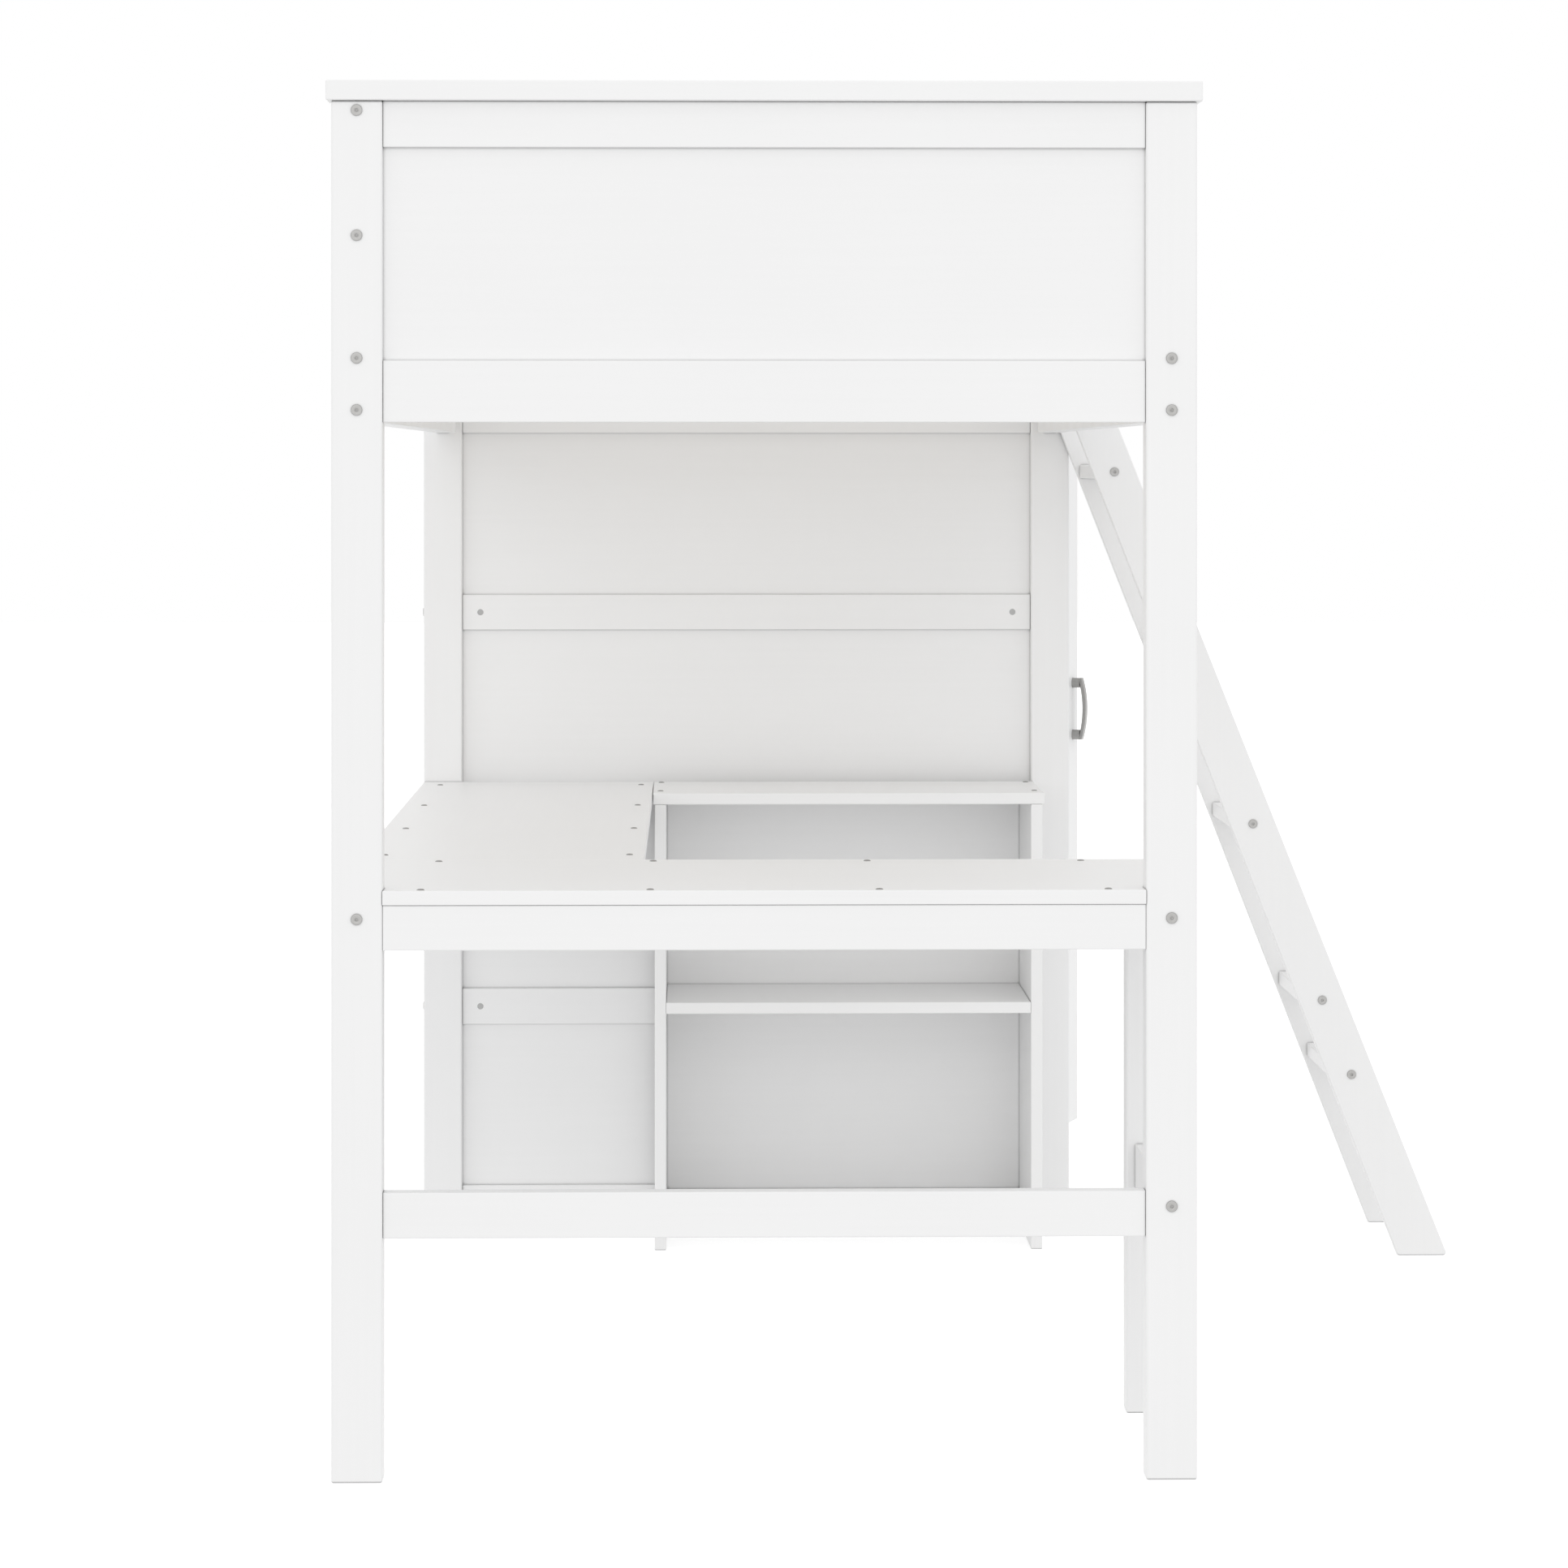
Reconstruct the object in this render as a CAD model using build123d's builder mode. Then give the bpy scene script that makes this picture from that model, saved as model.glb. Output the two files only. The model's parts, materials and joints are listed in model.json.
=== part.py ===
from build123d import *
import math
import os

# Twin loft bed with an L-shaped desk, a bookcase, an angled ladder and an end wardrobe.
# Millimetres.  X runs across the bed, towards the ladder; Y runs along it, from the desk end to
# the wardrobe; Z is up.  The origin is on the floor, at the middle of the assembly's plan.

os.makedirs("parts", exist_ok=True)

# ---- overall -----------------------------------------------------------------------------------
BED_LENGTH = 2020.0
BED_WIDTH = 1068.0
POST_W = 63.0            # across the bed
POST_D = 45.0            # along the bed
POST_H = 1702.0
POST_EASE = 3.0          # rounded corners of the posts
EASE = 1.5               # rounded corners of every other board
FOOT_EASE = 5.0          # larger rounding under the ladder

CAP_T = 25.0             # cap rail over each end
CAP_SIDE = 6.5           # its overhang past the posts' outer faces
CAP_FACE = 6.0           # its overhang past the posts' front and back faces

# ---- end frames --------------------------------------------------------------------------------
END_RAIL_T = 25.0
END_RAIL_SET = 6.0       # rails stand back from the posts' outer faces
TOP_RAIL_Z = (1645.0, POST_H)
BED_RAIL_Z = (1306.0, 1382.0)
CROSSBAR_Z = (300.0, 356.5)
WALL_UPPER_Z = (980.0, 1038.0)
WALL_LOWER_Z = (327.0, 386.0)
WALL_BASE_Z = (8.0, 60.0)
PANEL_T = 9.0
GROOVE = 8.0             # how far a panel runs into the frame around it
GROOVE_PLAY = 0.2

# ---- bed sides, slats and guards ---------------------------------------------------------------
RAIL_T = 22.0
SIDE_RAIL_Z = (1306.0, 1402.0)
LEDGER_T = 14.0
LEDGER_H = 30.0
LEDGER_INSET = 110.0     # the ledgers stop short of the posts, clear of the barrel nuts
SLAT_COUNT = 13
SLAT_W = 65.0
SLAT_T = 14.0
SLAT_PLAY = 1.0
SLAT_SCREW_IN = 7.5      # from a side rail's inner face to the screws
GUARD_TOP_Z = (1665.0, POST_H)
GUARD_LOW_Z = (1521.0, 1558.0)
GUARD_BARS = 6
GUARD_BAR_W = 45.0
GUARD_BAR_T = 16.0
GUARD_END = 1585.0       # the ladder-side guard stops here, before the way in
UPRIGHT_W = 45.0
UPRIGHT_T = 21.0

# ---- desk --------------------------------------------------------------------------------------
BOARD_T = 18.0
DESK_TOP = 729.0
DESK_DEPTH = 451.0
APRON_LOW = 655.0
APRON_SET = 2.0
SIDE_DESK_W = 380.0
INNER_APRON = 360.0      # its middle, from the left posts' outer face
REAR_APRON = 425.0       # its middle, from the near posts' front face
FAR_APRON = 1915.0       # likewise, under the side desk's far end
LEG_W = 50.0
STRETCHER_Z = (298.0, 356.0)
STRETCHER_T = 14.0
DESK_BOLT_Z = 694.0
STRETCHER_BOLT_Z = 338.0
GUARD_BOLTS_Z = (1690.0, 1536.0)
SIDE_RAIL_BOLTS_Z = (1385.0, 1321.0)
UPRIGHT_BOLT_Z = 1362.0  # clear above the slats
LADDER_BOLT_Z = 1374.0

# ---- bookcase ----------------------------------------------------------------------------------
CASE_LEFT = 384.0
CASE_RIGHT = 1003.0
CASE_FRONT = 1699.0
CASE_TOP_X = (381.0, 1007.0)
CASE_SHELF_Z = 377.0
CASE_FLOOR_Z = 39.0

# ---- ladder ------------------------------------------------------------------------------------
LEAN = 0.3898            # the stiles' inner edge: sideways run for each unit of height
OUTER_LEAN = 0.398       # their outer edge, because they taper upwards
STILE_FOOT = 1562.0      # inner edge of the stiles on the floor
STILE_FOOT_W = 79.0      # a stile's width on the floor
STILE_T = 22.0
LADDER_NEAR = 1629.0
TREAD_LENGTH = 300.0
TREAD_W = 57.0
TREAD_T = 22.0
TREAD_HEIGHTS = (287.0, 405.0, 684.5, 963.5, 1242.0)
LADDER_PLAY = 0.3

# ---- wardrobe ----------------------------------------------------------------------------------
ROBE_FRONT = 995.5
ROBE_DEPTH = 520.0
ROBE_H = 1382.0
ROBE_FLOOR_Z = 91.0
ROBE_SHELF_Z = 430.0
PLINTH_SET = 32.0
DOOR_W = 380.0
DOOR_GAP = 2.0
DOOR_AJAR = 18.5         # degrees open as the piece stands
HANG_RAIL_R = 12.5
HANG_RAIL_WALL = 1.5
HANG_RAIL_Z = 1270.0
SOCKET_R = 22.0
SOCKET_T = 10.0
SOCKET_FLANGE = 3.0
SOCKET_WALL = 3.0
SOCKET_FLOOR = 2.0       # what is left of a cup under its bore

KNUCKLE_R = 4.0
KNUCKLE_H = 18.0
KNUCKLE_GAP = 0.5
PIN_R = 1.6
PIN_PLAY = 0.06
LEAF_T = 0.85
LEAF_W = 30.0
HINGE_HEIGHTS = (230.0, 737.0, 1244.0)

HANDLE_CENTRE_Z = 829.0
HANDLE_PITCH = 90.0
HANDLE_FOOT_R = 8.5
HANDLE_FROM_EDGE = 35.0
BOW_T = 6.5
BOW_W = 13.0
BOW_END = 17.5           # how far the bow stands off the door at its ends
BOW_MIDDLE = 25.0        # and at its middle

# ---- fasteners ---------------------------------------------------------------------------------
BOLT_R = 3.0
BOLT_HOLE_R = 3.5
BOLT_HEAD_R = 7.0
BOLT_HEAD_T = 2.0
BOLT_HEAD_PLAY = 0.4     # around a head that is let into a post
BOLT_KEY = 4.0           # hexagon socket, across its flats
BOLT_KEY_DEPTH = 3.0
NUT_R = 5.0
NUT_PLAY = 0.1
NUT_LENGTH = 12.0
NUT_FROM_END = 30.0
RAIL_BITE = 42.0         # how far a bolt runs into the end of a rail
DOWEL_R = 4.0
DOWEL_PLAY = 0.06
DOWEL_HALF = 18.0
SCREW_R = 2.0
SCREW_PLAY = 0.06
SCREW_HEAD_R = 5.0
SCREW_HEAD_T = 1.6
SCREW_LENGTH = 44.0
SINK_R = 3.8             # countersunk heads of the slats' screws
SINK_T = 1.9
SINK_BELOW = 0.4         # how far they lie under the slats' top faces

# ---- places that follow from the dimensions above ----------------------------------------------
ROBE_NEAR = BED_LENGTH - END_RAIL_SET
ROBE_WIDTH = 2 * BOARD_T + DOOR_W + 2 * DOOR_GAP
FOOT_ROUNDING = FOOT_EASE * (1 - OUTER_LEAN - math.hypot(1, OUTER_LEAN))
FOOT_TIP = STILE_FOOT + STILE_FOOT_W + FOOT_ROUNDING
TOTAL_X = CAP_SIDE + FOOT_TIP
TOTAL_Y = CAP_FACE + ROBE_NEAR + ROBE_WIDTH
LEFT = CAP_SIDE - TOTAL_X / 2
NEAR = CAP_FACE - TOTAL_Y / 2

FAR_POST = BED_LENGTH - POST_D
RIGHT_POST = BED_WIDTH - POST_W
LEFT_LINE = POST_W / 2
RIGHT_LINE = BED_WIDTH - POST_W / 2
DESK_UNDER = DESK_TOP - BOARD_T
DESK_RAIL_Z = (APRON_LOW, DESK_UNDER)
END_LINE = END_RAIL_SET + END_RAIL_T / 2
LADDER_FAR = LADDER_NEAR + 2 * STILE_T + TREAD_LENGTH
PIVOT = (ROBE_FRONT + KNUCKLE_R + 0.2, ROBE_NEAR + BOARD_T + DOOR_GAP / 2)


CORNER = (Align.MIN, Align.MIN, Align.MIN)
STANDING = (Align.CENTER, Align.CENTER, Align.MIN)


def across(*places):
    """X of places measured from the left posts' outer face."""
    return tuple(LEFT + place for place in places)


def along(*places):
    """Y of places measured from the near posts' front face."""
    return tuple(NEAR + place for place in places)


def centred(middle, width):
    return (middle - width / 2, middle + width / 2)


# A fastener's path is (start point, direction, length), in the model's own frame.
bolts = []
recesses = []
nuts = []
dowels = []
screws = []
slat_screws = []


def bolt(place, direction, length):
    bolts.append((Vector(*place), Vector(*direction), length))


def nut(place, direction):
    """A barrel nut: its outer end's place and the direction it runs in from there."""
    nuts.append((Vector(*place), Vector(*direction), NUT_LENGTH))


def rail_nut(line, y, z):
    """A barrel nut in a rail along the bed, let in from inside; from outside in the stretcher."""
    outward = -1 if line == LEFT_LINE else 1
    if z == STRETCHER_BOLT_Z:
        nut((*across(line + outward * STRETCHER_T / 2), *along(y), z), (-outward, 0, 0))
    else:
        nut((*across(line - outward * RAIL_T / 2), *along(y), z), (outward, 0, 0))


def dowel(place, direction, half=DOWEL_HALF):
    """A dowel, centred on the joint between two boards."""
    way = Vector(*direction)
    dowels.append((Vector(*place) - way * half, way, 2 * half))


def screw(x, y):
    """A screw straight down through a top at the desk's height."""
    screws.append((Vector(*across(x), *along(y), DESK_TOP), Vector(0, 0, -1), SCREW_LENGTH))


def post_bolts():
    """Bolts through the posts into the ends of the long rails, with a barrel nut for each."""
    both_ends = [(LEFT_LINE, z) for z in (*GUARD_BOLTS_Z, *SIDE_RAIL_BOLTS_Z, DESK_BOLT_Z)]
    both_ends += [(RIGHT_LINE, z) for z in SIDE_RAIL_BOLTS_Z]
    near_only = [(RIGHT_LINE, z) for z in (DESK_BOLT_Z, STRETCHER_BOLT_Z)]
    for ends, places in (((0, 1), both_ends), ((0,), near_only)):
        for end in ends:
            face, way = ((0.0, 1), (BED_LENGTH, -1))[end]
            for line, z in places:
                bolt((*across(line), *along(face), z), (0, way, 0), POST_D + RAIL_BITE)
                rail_nut(line, face + way * (POST_D + NUT_FROM_END), z)
    for z in (DESK_BOLT_Z, STRETCHER_BOLT_Z):
        bolt((*across(RIGHT_LINE), *along(DESK_DEPTH), z), (0, -1, 0), POST_D + RAIL_BITE)
        rail_nut(RIGHT_LINE, DESK_DEPTH - POST_D - NUT_FROM_END, z)


def wall_bolts():
    """Bolts through the far posts' sides into the wall rails, and those of the wardrobe.

    On the ladder's side their heads are let in flush, so that nothing catches there.
    """
    wall_line = BED_LENGTH - END_LINE
    for z in (sum(WALL_UPPER_Z) / 2, sum(WALL_LOWER_Z) / 2):
        for face, way, let_in in ((0.0, 1, 0.0), (BED_WIDTH, -1, BOLT_HEAD_T)):
            seat = (*across(face + way * let_in), *along(wall_line), z)
            bolt(seat, (way, 0, 0), POST_W + RAIL_BITE - let_in)
            if let_in:
                recesses.append((Vector(*seat), Vector(-way, 0, 0), let_in))
            nut_x = face + way * (POST_W + NUT_FROM_END)
            nut((*across(nut_x), *along(wall_line - END_RAIL_T / 2), z), (0, 1, 0))
        for x in (600.0, 900.0):
            bolt((*across(x), *along(ROBE_NEAR + BOARD_T), z), (0, -1, 0), BOARD_T + 18)


def stile_inner(z):
    """The stiles' inner edge at a height, from the left posts' outer face."""
    return STILE_FOOT - LEAN * z


def stile_outer(z):
    return STILE_FOOT + STILE_FOOT_W - OUTER_LEAN * z


def stile_middle(z):
    return (stile_inner(z) + stile_outer(z)) / 2


def ladder_bolts():
    for z in TREAD_HEIGHTS:
        middle = stile_middle(z)
        for face, way in ((LADDER_NEAR, 1), (LADDER_FAR, -1)):
            bolt((*across(middle), *along(face), z), (0, way, 0), STILE_T + RAIL_BITE)
            nut_y = face + way * (STILE_T + NUT_FROM_END)
            nut((*across(middle), *along(nut_y), z - TREAD_T / 2), (0, 0, 1))
    for middle in (LADDER_NEAR + STILE_T / 2, LADDER_FAR - STILE_T / 2):
        seat = (*across(RIGHT_LINE - RAIL_T / 2), *along(middle), LADDER_BOLT_Z)
        bolt(seat, (1, 0, 0), RAIL_T + 24)


def guard_bolts():
    """Bolts from inside, through the guard rails and the side rail into the uprights."""
    for z in (UPRIGHT_BOLT_Z, sum(GUARD_LOW_Z) / 2, sum(GUARD_TOP_Z) / 2):
        for y in guard_upright_places():
            bolt((*across(RIGHT_LINE - RAIL_T / 2), *along(y), z), (1, 0, 0), RAIL_T + 14)


def frame_dowels():
    for line, rails in (
        (END_LINE, (TOP_RAIL_Z, BED_RAIL_Z, CROSSBAR_Z)),
        (BED_LENGTH - END_LINE, (TOP_RAIL_Z, BED_RAIL_Z, WALL_BASE_Z)),
    ):
        for low, high in rails:
            for z in (low + 14, high - 14):
                for x in (POST_W, RIGHT_POST):
                    dowel((*across(x), *along(line), z), (1, 0, 0))
        for x in (200.0, BED_WIDTH / 2, BED_WIDTH - 200):
            dowel((*across(x), *along(line), POST_H), (0, 0, 1), 13.0)
    for z in (APRON_LOW + 14, DESK_UNDER - 14):
        front_line = APRON_SET + BOARD_T / 2
        for x in (POST_W, RIGHT_POST):
            dowel((*across(x), *along(front_line), z), (1, 0, 0))
        dowel((*across(LEFT_LINE + RAIL_T / 2), *along(REAR_APRON), z), (1, 0, 0), 12.0)
        dowel((*across(BED_WIDTH - LEG_W), *along(REAR_APRON), z), (1, 0, 0), 12.0)
        dowel((*across(INNER_APRON), *along(REAR_APRON + BOARD_T / 2), z), (0, 1, 0), 12.0)
        dowel((*across(LEFT_LINE + RAIL_T / 2), *along(FAR_APRON), z), (1, 0, 0), 12.0)
        dowel((*across(INNER_APRON - BOARD_T / 2), *along(FAR_APRON), z), (1, 0, 0), 12.0)


def case_dowels():
    """Dowels of the bookcase's and the wardrobe's level boards."""
    for z in (CASE_SHELF_Z, CASE_FLOOR_Z):
        for y in (CASE_FRONT + 60, FAR_POST - 60):
            for x in (CASE_LEFT + BOARD_T, CASE_RIGHT - BOARD_T):
                dowel((*across(x), *along(y), z + BOARD_T / 2), (1, 0, 0), 12.0)
    far_joint = ROBE_NEAR + ROBE_WIDTH - BOARD_T
    for z in (ROBE_FLOOR_Z, ROBE_SHELF_Z):
        for x in (ROBE_FRONT - 80, ROBE_FRONT - ROBE_DEPTH + 80):
            for y in (ROBE_NEAR + BOARD_T, far_joint):
                dowel((*across(x), *along(y), z + BOARD_T / 2), (0, 1, 0), 12.0)
    for x in (ROBE_FRONT - 80, ROBE_FRONT - ROBE_DEPTH + 80):
        for y in (ROBE_NEAR + BOARD_T / 2, far_joint + BOARD_T / 2):
            dowel((*across(x), *along(y), ROBE_H - BOARD_T), (0, 0, 1), 12.0)


def board_screws():
    """Screws down through the desk tops and the bookcase's top, and through the slats."""
    for x in (109.5, 392.7, 675.8, 959.0):
        for y in (APRON_SET + BOARD_T / 2, REAR_APRON):
            screw(x, y)
    for x in (LEFT_LINE, INNER_APRON):
        for step in range(4):
            screw(x, DESK_DEPTH + 76 + 457 * step)
    for x in (CASE_LEFT + BOARD_T / 2, CASE_RIGHT - BOARD_T / 2):
        for y in (CASE_FRONT + 52, FAR_POST - 23):
            screw(x, y)
    slat_top = SIDE_RAIL_Z[0] + LEDGER_H + SLAT_T
    screw_in = RAIL_T / 2 + SLAT_SCREW_IN
    for y in slat_places():
        for x in (LEFT_LINE + screw_in, RIGHT_LINE - screw_in):
            start = Vector(*across(x), *along(y), slat_top - SINK_BELOW)
            slat_screws.append((start, Vector(0, 0, -1), SLAT_T + 18))


def slat_places():
    first = POST_D + 30 + SLAT_W / 2
    step = (BED_LENGTH - 2 * first) / (SLAT_COUNT - 1)
    return [first + step * count for count in range(SLAT_COUNT)]


def guard_upright_places():
    first = POST_D + 95
    last = GUARD_END - UPRIGHT_W / 2
    return [first, (first + last) / 2, last]


def crosses(bounds, start, way, length):
    """Whether a fastener's path runs through a board's bounding ranges."""
    end = start + way * length
    for (low, high), a, b in zip(bounds, start, end):
        runs_along = abs(a - b) > 1
        if runs_along and (max(a, b) <= low + 0.01 or min(a, b) >= high - 0.01):
            return False
        if not runs_along and not low < a < high:
            return False
    return True


def drill(paths, radius, bounds):
    """Drill a hole along every path that crosses the board being built."""
    for start, way, length in paths:
        if crosses(bounds, start, way, length):
            with Locations(Plane(origin=start, z_dir=way)):
                Cylinder(radius, length + 1, align=STANDING, mode=Mode.SUBTRACT)


def sink(paths, bounds):
    """Cut a countersink at the top of every path that starts in the board being built."""
    for start, way, _ in paths:
        if crosses(bounds, start, way, 0):
            with Locations(start - Vector(0, 0, SINK_T)):
                Cone(
                    SCREW_R + SCREW_PLAY, SINK_R + SCREW_PLAY, SINK_T,
                    align=STANDING, mode=Mode.SUBTRACT,
                )
            with Locations(start):
                Cylinder(SINK_R + SCREW_PLAY, SINK_T, align=STANDING, mode=Mode.SUBTRACT)


def save(piece, label):
    piece.part.label = label
    export_step(piece.part, f"parts/{label}.step")


def boards(label, boxes, ease=EASE, cuts=()):
    """Planed boards in one node, each between two places on each axis: eased, cut and drilled."""
    with BuildPart() as piece:
        for x, y, z in boxes:
            with Locations((x[0], y[0], z[0])):
                Box(x[1] - x[0], y[1] - y[0], z[1] - z[0], align=CORNER)
            fillet(piece.edges(Select.LAST), ease)
        for x, y, z in cuts:
            with Locations((x[0], y[0], z[0])):
                Box(x[1] - x[0], y[1] - y[0], z[1] - z[0], align=CORNER, mode=Mode.SUBTRACT)
        for bounds in boxes:
            drill(bolts, BOLT_HOLE_R, bounds)
            drill(recesses, BOLT_HEAD_R + BOLT_HEAD_PLAY, bounds)
            drill(nuts, NUT_R + NUT_PLAY, bounds)
            drill(dowels, DOWEL_R, bounds)
            drill(screws, SCREW_R + SCREW_PLAY, bounds)
            drill(slat_screws, SCREW_R + SCREW_PLAY, bounds)
            sink(slat_screws, bounds)
    save(piece, label)


def board(label, x, y, z, ease=EASE, cuts=()):
    boards(label, [(x, y, z)], ease, cuts)


def groove(x, y, z):
    """A groove for a panel: its ranges, a little wider and deeper than the panel needs."""
    return tuple((low - GROOVE_PLAY, high + GROOVE_PLAY) for low, high in (x, y, z))


# ---- bed frame ---------------------------------------------------------------------------------
def end_panel_spans():
    """Y ranges of the rails and the panels in the near and the far end frames."""
    rail = (END_RAIL_SET, END_RAIL_SET + END_RAIL_T)
    panel = centred(END_LINE, PANEL_T)
    far_rail = (BED_LENGTH - rail[1], BED_LENGTH - rail[0])
    far_panel = (BED_LENGTH - panel[1], BED_LENGTH - panel[0])
    return {"near": (rail, panel), "far": (far_rail, far_panel)}


def wall_panel_heights():
    return [
        (WALL_UPPER_Z[1] - GROOVE, BED_RAIL_Z[0] + GROOVE),
        (WALL_LOWER_Z[1] - GROOVE, WALL_UPPER_Z[0] + GROOVE),
        (WALL_BASE_Z[1] - GROOVE, WALL_LOWER_Z[0] + GROOVE),
    ]


def end_panel_height():
    return (BED_RAIL_Z[1] - GROOVE, TOP_RAIL_Z[0] + GROOVE)


def make_posts():
    panel_x = across(POST_W - GROOVE, RIGHT_POST + GROOVE)
    for end, (front, back) in (("near", (0.0, POST_D)), ("far", (FAR_POST, BED_LENGTH))):
        panel_y = along(*end_panel_spans()[end][1])
        grooves = [groove(panel_x, panel_y, end_panel_height())]
        if end == "far":
            grooves += [groove(panel_x, panel_y, z) for z in wall_panel_heights()]
        for side, span in (("left", (0.0, POST_W)), ("right", (RIGHT_POST, BED_WIDTH))):
            board(
                f"post_{end}_{side}", across(*span), along(front, back), (0.0, POST_H),
                ease=POST_EASE, cuts=grooves,
            )


def make_end_frames():
    between = across(POST_W, RIGHT_POST)
    panel_x = across(POST_W - GROOVE, RIGHT_POST + GROOVE)
    for end, (rail, panel) in end_panel_spans().items():
        panel_y = along(*panel)
        main_groove = groove(panel_x, panel_y, end_panel_height())
        wall_grooves = [groove(panel_x, panel_y, z) for z in wall_panel_heights()]
        bed_grooves = [main_groove] + (wall_grooves[:1] if end == "far" else [])
        board(f"end_top_rail_{end}", between, along(*rail), TOP_RAIL_Z, cuts=[main_groove])
        board(f"end_bed_rail_{end}", between, along(*rail), BED_RAIL_Z, cuts=bed_grooves)
        board(f"end_panel_{end}", panel_x, panel_y, end_panel_height(), ease=0.5)
        cap_y = (-CAP_FACE, POST_D + CAP_FACE)
        if end == "far":
            cap_y = (FAR_POST - CAP_FACE, BED_LENGTH + CAP_FACE)
            board("wall_rail_upper", between, along(*rail), WALL_UPPER_Z, cuts=wall_grooves)
            board("wall_rail_lower", between, along(*rail), WALL_LOWER_Z, cuts=wall_grooves)
            board("wall_base_rail", between, along(*rail), WALL_BASE_Z, cuts=wall_grooves)
            panels = [(panel_x, panel_y, z) for z in wall_panel_heights()]
            boards("wall_panels", panels, ease=0.5)
        else:
            board("crossbar", between, along(*rail), CROSSBAR_Z)
        cap_x = across(-CAP_SIDE, BED_WIDTH + CAP_SIDE)
        board(f"cap_{end}", cap_x, along(*cap_y), (POST_H, POST_H + CAP_T), ease=2.0)


def make_bed_sides():
    length = along(POST_D, FAR_POST)
    left_x = across(*centred(LEFT_LINE, RAIL_T))
    right_x = across(*centred(RIGHT_LINE, RAIL_T))
    board("side_rail_left", left_x, length, SIDE_RAIL_Z)
    board("side_rail_right", right_x, length, SIDE_RAIL_Z)
    ledger_y = along(LEDGER_INSET, BED_LENGTH - LEDGER_INSET)
    ledger_z = (SIDE_RAIL_Z[0], SIDE_RAIL_Z[0] + LEDGER_H)
    ledgers = [
        ((left_x[1], left_x[1] + LEDGER_T), ledger_y, ledger_z),
        ((right_x[0] - LEDGER_T, right_x[0]), ledger_y, ledger_z),
    ]
    boards("slat_ledgers", ledgers)
    slat_x = (left_x[1] + SLAT_PLAY, right_x[0] - SLAT_PLAY)
    slat_z = (ledger_z[1], ledger_z[1] + SLAT_T)
    boards("slats", [(slat_x, along(*centred(y, SLAT_W)), slat_z) for y in slat_places()])


def make_guards():
    left_x = across(*centred(LEFT_LINE, RAIL_T))
    right_x = across(*centred(RIGHT_LINE, RAIL_T))
    full = along(POST_D, FAR_POST)
    short = along(POST_D + 1, GUARD_END)
    boards("guard_rails_left", [(left_x, full, GUARD_TOP_Z), (left_x, full, GUARD_LOW_Z)])
    boards("guard_rails_right", [(right_x, short, GUARD_TOP_Z), (right_x, short, GUARD_LOW_Z)])
    bar_x = across(*centred(LEFT_LINE, GUARD_BAR_T))
    bar_z = (GUARD_LOW_Z[1], GUARD_TOP_Z[0])
    step = (FAR_POST - POST_D) / (GUARD_BARS + 1)
    bars = [
        (bar_x, along(*centred(POST_D + step * (count + 1), GUARD_BAR_W)), bar_z)
        for count in range(GUARD_BARS)
    ]
    boards("guard_bars_left", bars)
    upright_x = (right_x[1], right_x[1] + UPRIGHT_T)
    uprights = [
        (upright_x, along(*centred(y, UPRIGHT_W)), (SIDE_RAIL_Z[0] + 10, POST_H))
        for y in guard_upright_places()
    ]
    boards("guard_uprights_right", uprights)


# ---- desk --------------------------------------------------------------------------------------
def make_desk_tops():
    """The near top is notched round the near posts; the side top runs on to the far post."""
    outline = [
        (POST_W, 0.0), (RIGHT_POST, 0.0), (RIGHT_POST, POST_D), (BED_WIDTH, POST_D),
        (BED_WIDTH, DESK_DEPTH), (0.0, DESK_DEPTH), (0.0, POST_D), (POST_W, POST_D),
    ]
    with BuildPart() as near_top:
        with BuildSketch(Plane.XY.offset(DESK_UNDER)):
            with BuildLine():
                Polyline([(LEFT + x, NEAR + y) for x, y in outline], close=True)
            make_face()
        extrude(amount=BOARD_T)
        level_edges = near_top.edges().filter_by(Axis.Z, reverse=True)
        fillet(level_edges, EASE)
        bounds = (across(0, BED_WIDTH), along(0, DESK_DEPTH), (DESK_UNDER, DESK_TOP))
        drill(screws, SCREW_R + SCREW_PLAY, bounds)
    save(near_top, "desk_top_near")
    side_y = along(DESK_DEPTH, FAR_POST)
    board("desk_top_side", across(0, SIDE_DESK_W), side_y, (DESK_UNDER, DESK_TOP))


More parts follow.
